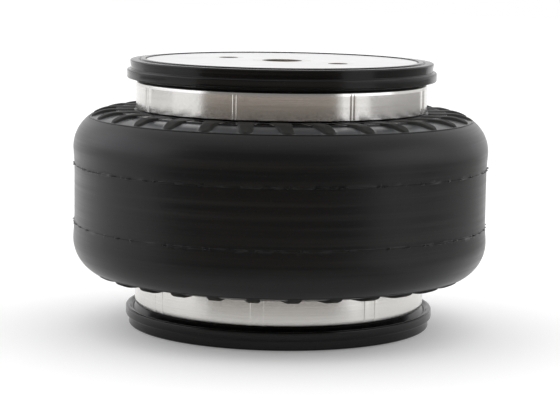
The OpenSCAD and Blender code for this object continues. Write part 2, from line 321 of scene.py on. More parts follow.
class BellowsFinishSettings(bpy.types.PropertyGroup):
    rubber_dark: colour("Rubber, dark", "Deep tone of the moulded rubber", (0.0022, 0.0022, 0.0026))
    rubber_light: colour("Rubber, light", "Worn tone of the moulded rubber", (0.0050, 0.0047, 0.0044))
    bloom: colour("Bloom", "Pale bloom and dust on the rubber", (0.018, 0.017, 0.015))
    # The ground between the ribs is coloured much lighter and bluer than the rest of the rubber.
    ground_dark: colour("Tread ground, dark", "Deep tone of the ground between ribs", (0.038, 0.040, 0.044))
    ground_light: colour("Tread ground, light", "Dusty tone between ribs", (0.072, 0.075, 0.081))
    rib_dark: colour("Rib, dark", "Deep tone of the tread ribs", (0.012, 0.012, 0.011))
    rib_light: colour("Rib, light", "Dusty tone of the tread ribs", (0.026, 0.025, 0.023))
    band_light: colour("Band, light", "Bright tone of the brushed band", (0.70, 0.69, 0.67))
    band_dark: colour("Band, dark", "Dull tone of the brushed band", (0.58, 0.565, 0.54))
    plate_light: colour("Plate, light", "Bright tone of the end plates", (0.86, 0.86, 0.86))
    plate_dark: colour("Plate, dark", "Dull tone of the end plates", (0.79, 0.79, 0.79))
    steel_light: colour("Steel, light", "Bright tone of nuts, bush and spigots", (0.84, 0.84, 0.83))
    steel_dark: colour("Steel, dark", "Dull tone of nuts, bush and spigots", (0.70, 0.69, 0.67))
    # The bore tones are painted shade: the threads inside the tapped holes get a dark brown metal colour in
    # place of the steel's own.
    bore_light: colour("Bore, light", "Bright tone of the oiled threads", (0.16, 0.13, 0.10))
    bore_dark: colour("Bore, dark", "Dull tone of the oiled threads", (0.05, 0.04, 0.03))


class BellowsStageSettings(bpy.types.PropertyGroup):
    azimuth: angle("Azimuth", "Direction of the camera round the part", 36)
    distance: length("Distance", "Level distance from the axis to the camera", 1032.7)
    height: length("Height", "Height of the camera above the floor", 198.3)
    pitch: angle("Pitch", "How far the camera looks down", 7.374)
    roll: angle("Roll", "Turn of the camera about its view", 0.88)
    lens: bpy.props.FloatProperty(name="Lens", description="Focal length in mm", default=128.2, min=10)
    side_light: bpy.props.FloatProperty(name="Side light", description="Sky on matt surfaces", default=1.45)
    front_light: bpy.props.FloatProperty(
        name="Front light", description="Light on matt surfaces from the camera's side", default=0.1
    )
    floor: colour("Floor", "Colour of the floor", (0.86, 0.86, 0.86))
    floor_lift: share("Floor lift", "Own light of the floor, as the camera sees it", 0.2)
    room: colour("Room", "Wall of the room behind the camera", (0.60, 0.53, 0.47))
    ceiling: colour("Ceiling", "Upper part of the room behind the camera", (0.3, 0.3, 0.3))
    front_paper: colour("Front paper", "Paper in front of the part, as gloss sees it", (0.55, 0.54, 0.53))
    near_floor: colour("Near floor", "Dark floor in front of the paper", (0.02, 0.02, 0.02))
    far_floor: colour("Far floor", "Grey floor behind the paper", (0.42, 0.41, 0.40))
    softbox: bpy.props.FloatVectorProperty(
        name="Softbox", description="Light of both softboxes", default=(2.0, 2.0, 2.1),
        size=3, subtype="COLOR",
    )


SETTINGS = {
    "bellows_wall": BellowsWallSettings,
    "bellows_tread": BellowsTreadSettings,
    "bellows_band": BellowsBandSettings,
    "bellows_rim": BellowsRimSettings,
    "bellows_thread": BellowsThreadSettings,
    "bellows_finish": BellowsFinishSettings,
    "bellows_stage": BellowsStageSettings,
}


def even_columns(count):
    """Angles of evenly spaced columns round the axis."""
    return np.arange(count) * (2 * math.pi / count)


def ring_object(name, points):
    """A closed ring. Each row of points runs round the axis, and the rows run round the section."""
    rows, columns, _ = points.shape
    grid = np.arange(rows * columns).reshape(rows, columns)
    right = np.roll(grid, -1, axis=1)
    corners = (grid, right, np.roll(right, -1, axis=0), np.roll(grid, -1, axis=0))
    faces = np.stack(corners, axis=-1).reshape(-1, 4)
    mesh = bpy.data.meshes.new(name)
    mesh.from_pydata(points.reshape(-1, 3).tolist(), [], faces.tolist())
    mesh.shade_smooth()
    mesh.set_sharp_from_angle(angle=SHARP_EDGE)
    made = bpy.data.objects.new(name, mesh)
    bpy.context.scene.collection.objects.link(made)
    return made


def turned_points(outline, columns, centre=(0.0, 0.0)):
    """Points of an outline of (radius, height) pairs turned round an upright axis."""
    section = np.array(outline, float)
    radius, height = section[:, :1], section[:, 1:]
    x, y = centre
    points = [x + radius * np.cos(columns), y + radius * np.sin(columns), height + 0 * columns]
    return np.stack(points, axis=-1)


def rounded_outline(corners, steps):
    """Outline of (radius, height, rounding) corners, run so that the outside lies to the right."""
    flat = np.array([corner[:2] for corner in corners], float)
    following = np.roll(flat, -1, axis=0)
    if np.sum(flat[:, 0] * following[:, 1] - following[:, 0] * flat[:, 1]) < 0:
        corners = corners[::-1]
    outline = []
    for i, (radius, height, rounding) in enumerate(corners):
        here = Vector((radius, height))
        back = Vector(corners[i - 1][:2]) - here
        ahead = Vector(corners[(i + 1) % len(corners)][:2]) - here
        half = back.angle(ahead) / 2
        reach = min(rounding / math.tan(half), MOST_ROUNDED * min(back.length, ahead.length))
        if reach < LEAST_ROUNDING:
            outline.append((radius, height))
            continue
        back.normalize()
        ahead.normalize()
        centre = here + (back + ahead).normalized() * (reach / math.cos(half))
        start = here + back * reach - centre
        sweep = start.angle_signed(here + ahead * reach - centre)
        for step in range(steps + 1):
            turned = start.copy()
            turned.rotate(Matrix.Rotation(-sweep * step / steps, 2))
            outline.append(tuple(centre + turned))
    return outline


def at_end(outline, end):
    """An outline made for the base, turned over where it is for the top end."""
    if end == "bottom":
        return outline
    return [(radius, FREE_HEIGHT - height) for radius, height in reversed(outline)]


def set_inputs(tree, node, inputs):
    """Links each input to another node's output, or sets its plain value."""
    for key, value in inputs.items():
        if isinstance(value, bpy.types.NodeSocket):
            tree.links.new(value, node.inputs[key])
        else:
            node.inputs[key].default_value = value


def add_node(tree, kind, inputs=None, **settings):
    """A shader node with its settings and inputs."""
    made = tree.nodes.new(kind)
    for key, value in settings.items():
        setattr(made, key, value)
    set_inputs(tree, made, inputs or {})
    return made


def new_finish(name):
    """A new material with its tree, its shader and the part's own coordinates."""
    material = bpy.data.materials.new(name)
    material.use_nodes = True
    tree = material.node_tree
    place = add_node(tree, "ShaderNodeTexCoord").outputs["Object"]
    return material, tree, tree.nodes["Principled BSDF"], place


def empty_finish(name):
    """A new material with an empty tree."""
    material = bpy.data.materials.new(name)
    material.use_nodes = True
    material.node_tree.nodes.clear()
    return material, material.node_tree


def noise(tree, place, scale, detail, roughness=0.5):
    """Noise of that scale in the part's own coordinates."""
    inputs = {"Vector": place, "Scale": scale, "Detail": detail, "Roughness": roughness}
    return add_node(tree, "ShaderNodeTexNoise", inputs).outputs["Fac"]


def ranged(tree, value, low=0.0, high=1.0, start=0.3, end=0.7):
    """A value between start and end, mapped to low and high."""
    inputs = {"Value": value, "From Min": start, "From Max": end, "To Min": low, "To Max": high}
    return add_node(tree, "ShaderNodeMapRange", inputs).outputs["Result"]


def mixed(tree, factor, first, second):
    """A colour between two colours."""
    ends = [
        tone if isinstance(tone, bpy.types.NodeSocket) else (*tone, 1.0) for tone in (first, second)
    ]
    inputs = {0: factor, 6: ends[0], 7: ends[1]}
    return add_node(tree, "ShaderNodeMix", inputs, data_type="RGBA").outputs[2]


def stretched(tree, place, scale):
    """Coordinates scaled along each axis."""
    return add_node(tree, "ShaderNodeMapping", {"Vector": place, "Scale": scale}).outputs["Vector"]


def bumped(tree, height, strength, distance, normal=None):
    """A bump, on top of another one where that is given."""
    inputs = {"Height": height, "Strength": strength, "Distance": distance}
    if normal is not None:
        inputs["Normal"] = normal
    return add_node(tree, "ShaderNodeBump", inputs).outputs["Normal"]


def rubber_finish(name):
    """Moulded black rubber with some gloss, a film of dust, specks and marks that run round the mould."""
    finish = bpy.context.scene.bellows_finish
    look = RUBBER_LOOKS[name]
    material, tree, shader, place = new_finish(name)
    patches = noise(tree, place, scale=26.0, detail=4.0, roughness=0.6)
    specks = noise(tree, place, scale=700.0, detail=2.0)
    round_mould = stretched(tree, place, (5.0, 5.0, 420.0))
    rings = noise(tree, round_mould, scale=1.0, detail=4.0, roughness=0.65)
    worn = ranged(tree, patches)
    base = mixed(tree, worn, getattr(finish, look.dark), getattr(finish, look.light))
    streaks = ranged(tree, rings, high=0.5, start=0.45, end=0.75)
    streaked = mixed(tree, streaks, base, finish.bloom)
    dust = ranged(tree, specks, high=0.5, start=0.66, end=0.78)
    grain = bumped(tree, specks, strength=0.1, distance=0.1 * MM)
    smooth, rough = look.roughness - ROUGHNESS_SPREAD, look.roughness + ROUGHNESS_SPREAD
    set_inputs(tree, shader, {
        "Base Color": mixed(tree, dust, streaked, finish.bloom),
        "Roughness": ranged(tree, rings, low=smooth, high=rough),
        "Normal": bumped(tree, rings, strength=look.striation, distance=0.2 * MM, normal=grain),
        "Specular IOR Level": look.gloss,
        "Sheen Weight": look.dust,
        "Sheen Roughness": SHEEN_ROUGHNESS,
    })
    return material


def brushed_band_finish():
    """Bright metal, brushed round the axis, with dull patches from the press."""
    finish = bpy.context.scene.bellows_finish
    material, tree, shader, place = new_finish("brushed_band")
    round_axis = stretched(tree, place, (14.0, 14.0, 2600.0))
    brush = noise(tree, round_axis, scale=1.0, detail=4.0, roughness=0.7)
    up_face = stretched(tree, place, (110.0, 110.0, 12.0))
    pressed = noise(tree, up_face, scale=1.0, detail=4.0, roughness=0.6)
    specks = noise(tree, place, scale=900.0, detail=2.0)
    dull = ranged(tree, brush)
    ripple = bumped(tree, pressed, strength=0.08, distance=0.2 * MM)
    round_z = add_node(tree, "ShaderNodeTangent", direction_type="RADIAL", axis="Z")
    set_inputs(tree, shader, {
        "Base Color": mixed(tree, dull, finish.band_light, finish.band_dark),
        "Roughness": ranged(tree, specks, low=0.18, high=0.26),
        "Normal": bumped(tree, brush, strength=0.05, distance=0.05 * MM, normal=ripple),
        "Tangent": round_z.outputs["Tangent"],
        "Metallic": 1.0,
        "Anisotropic": 0.55,
        "Anisotropic Rotation": 0.25,
    })
    return material


def plate_finish():
    """Pale machined plate with faint turning rings and smudges."""
    finish = bpy.context.scene.bellows_finish
    material, tree, shader, place = new_finish("machined_plate")
    flat = stretched(tree, place, (1.0, 1.0, 0.0))
    rings = add_node(
        tree,
        "ShaderNodeTexWave",
        {"Vector": flat, "Scale": 420.0, "Distortion": 1.5, "Detail": 2.0},
        wave_type="RINGS",
        rings_direction="SPHERICAL",
    ).outputs["Fac"]
    smudges = noise(tree, place, scale=40.0, detail=5.0, roughness=0.6)
    dull = ranged(tree, smudges, start=0.35, end=0.75)
    set_inputs(tree, shader, {
        "Base Color": mixed(tree, dull, finish.plate_light, finish.plate_dark),
        "Roughness": ranged(tree, smudges, low=0.32, high=0.44),
        "Normal": bumped(tree, rings, strength=0.06, distance=0.03 * MM),
        "Metallic": 0.9,
    })
    return material


def turned_steel_finish(name, light, dark):
    """Turned steel with fine tool marks and stains."""
    material, tree, shader, place = new_finish(name)
    round_axis = stretched(tree, place, (30.0, 30.0, 1800.0))
    tool = noise(tree, round_axis, scale=1.0, detail=3.0, roughness=0.7)
    stains = noise(tree, place, scale=160.0, detail=4.0, roughness=0.6)
    set_inputs(tree, shader, {
        "Base Color": mixed(tree, ranged(tree, stains), light, dark),
        "Roughness": ranged(tree, stains, low=0.3, high=0.48),
        "Normal": bumped(tree, tool, strength=0.2, distance=0.05 * MM),
        "Metallic": 1.0,
    })
    return material


def finished(made, material):
    """Gives a new piece its finish."""
    made.data.materials.append(material)
    return made


def repaint(node, material):
    """Gives a carried-over node its finish."""
    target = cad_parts[node]
    target.data.materials.clear()
    target.data.materials.append(material)


class WallShape:
    """The moulded outside and the plain inside of the bellows wall, from its middle to one neck."""

    def __init__(self, wall, tread):
        self.wall = wall
        self.tread = tread
        self.corner_r = wall.wall_radius + wall.bulge - wall.corner_radius
        self.roof = MIDDLE_Z - BAND_HIGH.z - wall.neck_bend
        self.corner_z = self.roof - wall.corner_radius
        self.neck_end = COVER_HIGH.z - MIDDLE_Z
        run = Vector((wall.wall_radius - self.corner_r, self.corner_z - wall.flash_offset))
        self.flare = math.atan2(run.y, run.x) - math.acos(wall.corner_radius / run.length)
        self.edge_r = self.corner_r + wall.corner_radius * math.cos(tread.edge)
        self.rib_start = BAND_HIGH.x + tread.band_gap
        self.rib_mid = (self.rib_start + self.edge_r) / 2
        self.collar_r = wall.neck_radius + tread.collar
        fall = wall.corner_radius * (1 - math.sin(tread.edge)) + tread.lip_depth - tread.depth
        self.ground_curve = ((self.edge_r - self.collar_r) ** 2 + fall ** 2) / (2 * fall)

    def corner_point(self, turn, depth=0.0):
        """A point on the shoulder corner with the direction that it faces."""
        reach = self.wall.corner_radius - depth
        facing = (math.cos(turn), math.sin(turn))
        return (self.corner_r + reach * facing[0], self.corner_z + reach * facing[1], *facing)

    def bend_points(self, rows, depth=0.0):
        """Points on the bend from the roof into the neck with the direction that each one faces."""
        bend = self.wall.neck_bend
        reach = bend + depth
        points = []
        for k in np.linspace(0, 1, rows):
            turn = -math.pi / 2 * (1 + k)
            radius = self.wall.neck_radius + bend + reach * math.cos(turn)
            height = self.roof + bend + reach * math.sin(turn)
            points.append((radius, height, -math.cos(turn), -math.sin(turn)))
        return points

    def lower_rows(self):
        """Rows of (radius, height, facing) from the middle up to the widest ring."""
        radius, flash = self.wall.wall_radius, self.wall.flash_offset
        heights = list(np.linspace(0, flash - 6 * FIN_STEP, WALL_ROWS))
        heights += [flash + k * FIN_STEP for k in FIN_STEPS]
        rows = [(radius, height, 1.0, 0.0) for height in heights if height <= flash]
        low = Vector((radius, flash))
        high = Vector(self.corner_point(-self.flare)[:2])
        facing = (math.cos(self.flare), -math.sin(self.flare))
        climbs = [height - flash for height in heights if height > flash]
        climbs += list(np.linspace(climbs[-1], high.y - low.y, BULGE_ROWS))[1:]
        for climb in climbs:
            rows.append((*low.lerp(high, climb / (high.y - low.y)), *facing))
        return rows + [self.corner_point(-self.flare * k) for k in WIDEST_SHARES]

    def upper_rows(self):
        """Rows from the widest ring over the shoulder and the collar to the end of the neck."""
        wall, tread = self.wall, self.tread
        edge = tread.edge
        groove = tread.line_width / wall.corner_radius
        turns = [*CORNER_STARTS, *np.linspace(CORNER_FIRST, edge - 2 * groove, CORNER_ROWS)]
        rows = [self.corner_point(turn) for turn in turns]
        for share_down, share_deep in GROOVE_SIDES:
            rows.append(self.corner_point(edge - share_down * groove, share_deep * tread.line_depth))
        turns = [edge + (math.pi / 2 - edge) * k ** TREAD_CROWDING for k in np.linspace(0, 1, TREAD_ROWS)]
        rows += [self.corner_point(turn) for turn in turns]
        radii = list(np.linspace(self.corner_r, self.collar_r + ROW_STEP, ROOF_ROWS))[1:]
        radii += [self.collar_r - ROW_STEP, self.collar_r - COLLAR_STEPS * ROW_STEP]
        radii += [self.rib_start + ROW_STEP, self.rib_start - ROW_STEP]
        radii += [wall.neck_radius + wall.neck_bend]
        rows += [(radius, self.roof, 0.0, 1.0) for radius in radii]
        rows += self.bend_points(BEND_ROWS)[1:]
        heights = (self.roof + NECK_RUN, self.neck_end)
        return rows + [(wall.neck_radius, height, 1.0, 0.0) for height in heights]

    def inner_rows(self):
        """Rows of the plain inside from the middle to the end of the neck, split at the widest ring."""
        wall = self.wall
        depth = wall.thickness
        low = [(wall.wall_radius - depth, k * wall.flash_offset) for k in INSIDE_SHARES]
        low += [self.corner_point(-self.flare * k, depth)[:2] for k in INSIDE_FLARES]
        turns = np.linspace(0, math.pi / 2, INSIDE_CORNER_ROWS)
        high = [self.corner_point(turn, depth)[:2] for turn in turns]
        high += [point[:2] for point in self.bend_points(INSIDE_BEND_ROWS, depth)]
        return low, high + [(wall.neck_radius - depth, self.neck_end)]

    def rib_half_width(self, radius):
        """Half the width of a rib at a radius, which falls to nothing round the rib's outer end."""
        tread = self.tread
        end_half = tread.outer_width / 2
        end_r = self.edge_r - end_half - RIB_END_GAP
        along = self.rib_mid + (radius - self.rib_mid) / math.cos(tread.lean)
        if along > end_r:
            return math.sqrt(max(0.0, end_half ** 2 - (along - end_r) ** 2))
        share_out = (along - self.rib_start) / (end_r - self.rib_start)
        return tread.inner_width / 2 * (1 - share_out) + end_half * share_out

    def columns_at(self, radius):
        """Angles of the columns at a radius and how much of a rib each one carries there."""
        tread = self.tread
        held = min(max(radius, self.rib_start), self.edge_r)
        pitch = 2 * math.pi / tread.rib_count
        half = max(self.rib_half_width(held), RIB_LEAST_HALF)
        flank = (half + FLANK_OFFSETS) / (held * math.cos(tread.lean))
        ground = flank[-1] + (pitch / 2 - flank[-1]) * GROUND_SHARES
        side = np.concatenate([flank[0] * CROWN_SHARES, flank, ground])
        carry = np.concatenate([np.ones_like(CROWN_SHARES), FLANK_CARRY, np.zeros_like(GROUND_SHARES)])
        offsets = np.concatenate([-side[::-1], [0.0], side, [pitch / 2]])
        carry = np.concatenate([carry[::-1], [1.0], carry, [0.0]])
        middles = (np.arange(tread.rib_count) + 0.5) * pitch
        lean = (held - self.rib_mid) * math.tan(tread.lean) / held
        return (middles[:, None] + offsets[None, :] + lean).ravel(), np.tile(carry, tread.rib_count)

    def rib_top(self, radius, height):
        """Height of a rib's top above the smooth shoulder, measured the way the surface faces."""
        tread = self.tread
        reach = self.wall.corner_radius + tread.height
        shift = (tread.height - tread.end_height) / math.cos(tread.edge)
        if radius <= self.corner_r - shift:
            return tread.height
        if radius <= self.corner_r:
            across = radius - self.corner_r + shift
            return math.sqrt(reach ** 2 - across ** 2) - self.wall.corner_radius
        turn = math.atan2(height - self.corner_z, radius - self.corner_r)
        rise = math.sqrt(reach ** 2 - (shift * math.sin(turn)) ** 2)
        return rise - shift * math.cos(turn) - self.wall.corner_radius

    def ground_height(self, radius):
        """Height of the ground between the ribs, which curves down from the collar to the tread's edge."""
        across = radius - self.collar_r
        drop = self.ground_curve - math.sqrt(self.ground_curve ** 2 - across ** 2)
        return self.roof - self.tread.depth - drop

    def ragged(self, angles):
        """The uneven height of the mould flash round the wall, from nothing to one."""
        total = sum(size * np.sin(count * angles + phase) for count, phase, size in FIN_WAVES)
        return np.clip(FIN_MIDDLE + FIN_SWING * total, FIN_LEAST, 1.0)

    def turn_at(self, height, side):
        """Turn of the columns, which runs over the plain wall from one shoulder's phase to the other's."""
        top, bottom = self.tread.top_phase, self.tread.bottom_phase
        share_up = side * min(1.0, height / self.wall.flash_offset)
        return (top + bottom) / 2 + share_up * (top - bottom) / 2

    def outer_rows(self, rows, side):
        """Points of outer rows, above the middle with side 1 or below it with side -1, and their zones."""
        wall, tread = self.wall, self.tread
        made = []
        for radius, height, out, up in rows:
            angles, carried = self.columns_at(radius)
            angles += self.turn_at(height, side)
            reach = np.full_like(angles, radius)
            level = np.full_like(angles, height)
            zones = np.full(angles.shape, PLAIN)
            turn = math.atan2(height - self.corner_z, radius - self.corner_r)
            from_flash = abs(height - wall.flash_offset) / (FIN_ROOT / 2)
            if turn > tread.edge + SMALL_TURN and radius > self.rib_start:
                floor = self.ground_height(radius) if radius > self.collar_r else height
                top = self.rib_top(radius, height)
                whole = carried * min(1.0, self.rib_half_width(radius) / RIB_LEAST_HALF)
                reach = radius + whole * top * out
                level = floor + whole * (height + top * up - floor)
                zones[whole < GROUND_BELOW] = GROUND if radius > self.collar_r else COLLAR
                zones[whole > RIB_ABOVE] = RIB
            elif from_flash < 1:
                fin = (COVER_HIGH.x - wall.wall_radius) * self.ragged(angles + side)
                reach = reach + fin * (1 - from_flash)
                zones[:] = FLASH
            points = [reach * np.cos(angles), reach * np.sin(angles), MIDDLE_Z + side * level]
            made.append((np.stack(points, axis=-1), zones))
        return made

    def plain_rows(self, rows, side):
        """Points of inner rows, with the columns of the smooth wall, in the plain zone."""
        angles, _ = self.columns_at(self.edge_r + self.wall.corner_radius)
        made = []
        for radius, height in rows:
            columns = angles + self.turn_at(height, side)
            points = turned_points([(radius, MIDDLE_Z + side * height)], columns)[0]
            made.append((points, np.full(angles.shape, PLAIN)))
        return made


class BELLOWS_OT_wall(bpy.types.Operator):
    """Moulds the ribbed rubber wall in two stretches, which meet at the top shoulder's widest ring"""

    bl_idname = "bellows.wall"
    bl_label = "Bellows wall"

    def execute(self, context):
        scene = context.scene
        wall = scene.bellows_wall
        shape = WallShape(wall, scene.bellows_tread)
        finishes = [rubber_finish(name) for name in ZONE_RUBBERS]
        lower, upper = shape.lower_rows(), shape.upper_rows()
        inner_low, inner_high = shape.inner_rows()
        below = shape.outer_rows((lower + upper)[:0:-1], -1)
        below += shape.outer_rows(lower + upper[:1], 1)
        below += shape.plain_rows([*inner_low, inner_high[0]][::-1], 1)
        below += shape.plain_rows((inner_low + inner_high)[1:], -1)
        low_piece = self.mould("bellows_cover_lower", below, finishes)
        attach(low_piece, "base")
        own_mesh(low_piece)
        above = shape.outer_rows(upper, 1) + shape.plain_rows(inner_high[::-1], 1)
        high_piece = self.mould("bellows_cover_upper", above, finishes)
        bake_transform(high_piece)
        return {"FINISHED"}

    def mould(self, name, rows, finishes):
        """A stretch of the wall, with the finish of each zone on the faces that lie in it."""
        made = ring_object(name, np.array([points for points, _ in rows]))
        finished(made, finishes[PLAIN])
        for other in finishes[1:]:
            made.data.materials.append(other)
        zones = np.array([row_zones for _, row_zones in rows])
        faces = np.zeros_like(zones)
        for zone in (GROUND, COLLAR, RIB, FLASH):
            inside = zones == zone
            inside &= np.roll(inside, -1, axis=1)
            inside &= np.roll(inside, -1, axis=0)
            faces[inside] = zone
        made.data.polygons.foreach_set("material_index", faces.ravel().astype(np.int32))
        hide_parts(*WALL_LAYERS)
        return made


class BELLOWS_OT_bands(bpy.types.Operator):
    """Turns the two bright crimp bands, with the witness lines of the press jaws"""

    bl_idname = "bellows.bands"
    bl_label = "Crimp bands"

    def execute(self, context):
        band = context.scene.bellows_band
        material = brushed_band_finish()
        inner_r = context.scene.bellows_wall.neck_radius + RUBBER_GAP
        outline = rounded_outline([
            (inner_r, BAND_LOW.z, band.edge_round),
            (BAND_HIGH.x - band.relief, BAND_LOW.z, band.edge_round),
            (BAND_HIGH.x, BAND_LOW.z + band.relief_height, band.edge_round),
            (BAND_HIGH.x, BAND_HIGH.z, band.edge_round),
            (inner_r, BAND_HIGH.z, band.edge_round),
        ], steps=8)
        places = ((band.bottom_phase, band.bottom_gap), (band.top_phase, band.top_gap))
        for end, (phase, gap) in zip(ENDS, places):
            columns, sunk = self.jaw_columns(band.jaw_count, phase, gap)
            points = turned_points(at_end(outline, end), columns)
            radius = np.hypot(points[..., 0], points[..., 1])
            outside = radius > BAND_HIGH.x - BAND_FACE_SLACK
            shrunk = 1 - outside * band.line_depth * sunk / radius
            points[..., :2] *= shrunk[..., None]
            made = ring_object(f"{end}_crimp_band_ring", points)
            finished(made, material)
            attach(made, END_BODY[end])
            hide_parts(f"{end}_crimp_band")
        return {"FINISHED"}

    def jaw_columns(self, count, phase, gap):
        """Angles of the columns, closer together at the witness lines, and how far each is sunk."""
        angles, sunk = [], []
        pitch = 2 * math.pi / count
        for jaw in range(count):
            first = phase + jaw * pitch - gap / 2
            for line in (first, first + gap):
                angles += [line + place * JAW_LINE_HALF for place, _ in JAW_LINE]
                sunk += [depth for _, depth in JAW_LINE]
            start, end = first + gap + JAW_LINE_HALF, first + pitch - JAW_LINE_HALF
            plain = np.linspace(start, end, JAW_COLUMNS)[1:-1]
            angles += [first + gap / 2, *plain]
            sunk += [0.0] * (len(plain) + 1)
        order = np.argsort(angles)
        return np.array(angles)[order], np.array(sunk)[order]


class BELLOWS_OT_rims(bpy.types.Operator):
    """Moulds the two rubber rims, with their crest, groove, land, lip and notch"""

    bl_idname = "bellows.rims"
    bl_label = "Rim seals"

    def execute(self, context):
        material = rubber_finish("rim_rubber")
        outline = self.section(context.scene.bellows_rim)
        for end in ENDS:
            points = turned_points(at_end(outline, end), even_columns(RIM_COLUMNS))
            made = ring_object(f"{end}_rim_seal_ring", points)
            finished(made, material)
            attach(made, END_BODY[end])
            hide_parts(f"{end}_rim_seal")
        return {"FINISHED"}

    def section(self, rim):
        """Rounded section of the rim at the base."""
        soft = rim.edge_round
        inner = PLATE_HIGH.x + SEAT_GAP
        crest = inner + rim.crest_width
        land = crest + rim.groove_width
        foot = land + rim.land_width
        lip = RIM_HIGH.x
        under = rim.lip_height - rim.lip_radius
        over = rim.lip_height + rim.lip_radius
        notch_r = lip - rim.lip_radius - rim.notch_inset
        seat_r = PLATE_HIGH.x - rim.seat_width
        back = PLATE_HIGH.z + SEAT_GAP
        return rounded_outline([
            (inner, 0.0, soft / 2),
            (crest, 0.0, soft),
            (crest + rim.groove_width / 2, rim.groove_depth, soft / 2),
            (land, rim.land_drop, soft),
            (foot + rim.foot_draft, rim.land_drop, 2 * soft),
            (foot, under + soft, soft),
            (lip, under, rim.lip_radius),
            (lip, over, rim.lip_radius),
            (notch_r + rim.notch_width, over, soft),
            (notch_r, rim.lip_height + rim.notch_rise, soft),
            (BAND_HIGH.x - rim.cone_inset, RIM_HIGH.z, soft),
            (seat_r, RIM_HIGH.z, 0.0),
            (seat_r, back, 0.0),
            (inner, back, 0.0),
        ], steps=6)


class BELLOWS_OT_fittings(bpy.types.Operator):
    """Turns the tapped nuts and the port bush, with their threads"""

    bl_idname = "bellows.fittings"
    bl_label = "Nuts and port"

    def execute(self, context):
        thread = context.scene.bellows_thread
        finish = context.scene.bellows_finish
        steel = turned_steel_finish("turned_steel", finish.steel_light, finish.steel_dark)
        # Painted shade for the tapped bores: a dark brown metal laid on the threads inside the holes.
        shaded = turned_steel_finish("shaded_thread", finish.bore_light, finish.bore_dark)
        collar_r = NUT_HIGH.y
        nut = self.section(
            thread.nut_barrel, collar_r, thread.nut_collar, NUT_HIGH.z, NUT_CAP_AXIS, thread.nut_depth,
            thread.nut_crest, NUT_COUNTERSINK, thread.nut_root, thread.nut_pitch,
        )
        for end in ENDS:
            for side, place in (("left", NUT_LOW.x + collar_r), ("right", NUT_HIGH.x - collar_r)):
                made = self.turn(f"{end}_mount_nut_{side}", at_end(nut, end), (place, 0.0), steel, shaded)
                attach(made, END_BODY[end])
                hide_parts(f"{end}_mount_nuts")
        tall = PORT_HIGH.z - PORT_LOW.z
        port = self.section(
            thread.port_barrel, PORT_HIGH.x, thread.port_collar, PLATE_LOW.z + tall, thread.port_crest,
            tall, thread.port_crest, PORT_COUNTERSINK, thread.port_root, thread.port_pitch,
        )
        bush = self.turn("air_port_bush_tapped", at_end(port, "top"), (0.0, 0.0), steel, shaded)
        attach(bush, "top")
        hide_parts("air_port_bush")
        return {"FINISHED"}

    def turn(self, name, outline, place, steel, shaded):
        """Turns a fitting and paints shade into its bore, with a darker finish on the faces inside it."""
        made = ring_object(name, turned_points(outline, even_columns(FITTING_COLUMNS), place))
        finished(made, steel)
        made.data.materials.append(shaded)
        # The faces inside the bore carry the painted shade.
        bore_r = max(radius for radius, _ in outline) * BORE_SHARE
        in_shade = [radius < bore_r for radius, _ in outline]
        rows = [1 if here and after else 0 for here, after in zip(in_shade, in_shade[1:] + in_shade[:1])]
        made.data.polygons.foreach_set("material_index", np.repeat(rows, FITTING_COLUMNS))
        return made

    def section(self, barrel, collar_r, collar_t, far_end, axis_r, depth, crest, countersink, root, pitch):
        """Section of a fitting at the base, round from the mouth of its bore."""
        face = PLATE_LOW.z
        plate = PLATE_HIGH.z + SEAT_GAP
        collar_end = PLATE_HIGH.z + collar_t
        mouth = countersink * crest
        bore_end = face + depth
        outline = [
            (crest + mouth, face),
            (barrel, face),
            (barrel, plate),
            (collar_r, plate),
            (collar_r, collar_end),
            (barrel, collar_end),
            (barrel, far_end - FITTING_BEVEL),
            (barrel - FITTING_BEVEL, far_end),
            (axis_r, far_end),
        ]
        if axis_r < crest:
            outline += [(axis_r, bore_end), (crest, bore_end)]
        turns = int((bore_end - face - mouth - FITTING_BEVEL) / pitch)
        for turn in reversed(range(turns)):
            z = face + mouth + turn * pitch
            for radius, share_up in zip((crest, root, root, crest), THREAD_SHARES):
                outline.append((radius, z + share_up * pitch))
        return outline + [(crest, face + mouth)]


class BELLOWS_OT_closures(bpy.types.Operator):
    """Gives the end plates and the spigot rings their machined finishes"""

    bl_idname = "bellows.closures"
    bl_label = "End closures"

    def execute(self, context):
        plate = plate_finish()
        finish = context.scene.bellows_finish
        steel = turned_steel_finish("spigot_steel", finish.steel_light, finish.steel_dark)
        for end in ENDS:
            repaint(f"{end}_end_plate", plate)
            repaint(f"{end}_spigot_ring", steel)
        return {"FINISHED"}


